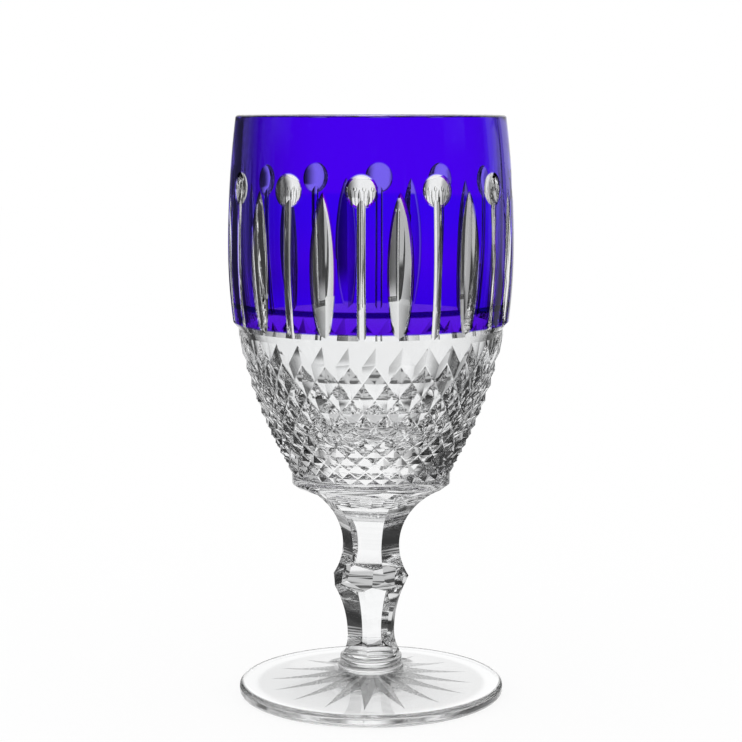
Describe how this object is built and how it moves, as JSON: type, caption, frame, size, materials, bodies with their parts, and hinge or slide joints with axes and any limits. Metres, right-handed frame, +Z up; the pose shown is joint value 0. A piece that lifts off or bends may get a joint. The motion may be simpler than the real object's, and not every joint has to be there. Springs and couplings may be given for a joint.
{
  "type": "footed drink goblet",
  "caption": "Footed crystal goblet for cold drinks: barrel bowl in a cut cobalt casing over a diamond-cut base, hexagonal stem with a knop, and a round star-cut foot.",
  "frame": {"origin": "centre of the foot's resting plane", "axes": "+Z up along the glass's axis, -Y towards the picture's camera, with a round lens cut facing it"},
  "size_m": [0.0876, 0.0876, 0.18],
  "materials": {
    "clear_crystal": "polished lead crystal, colourless",
    "cobalt_crystal": "polished crystal, cobalt blue all through"
  },
  "bodies": {
    "root": {"foot": "clear_crystal", "collar": "clear_crystal", "stem": "clear_crystal", "bowl_liner": "clear_crystal", "colour_casing": "cobalt_crystal"}
  },
  "joints": []
}
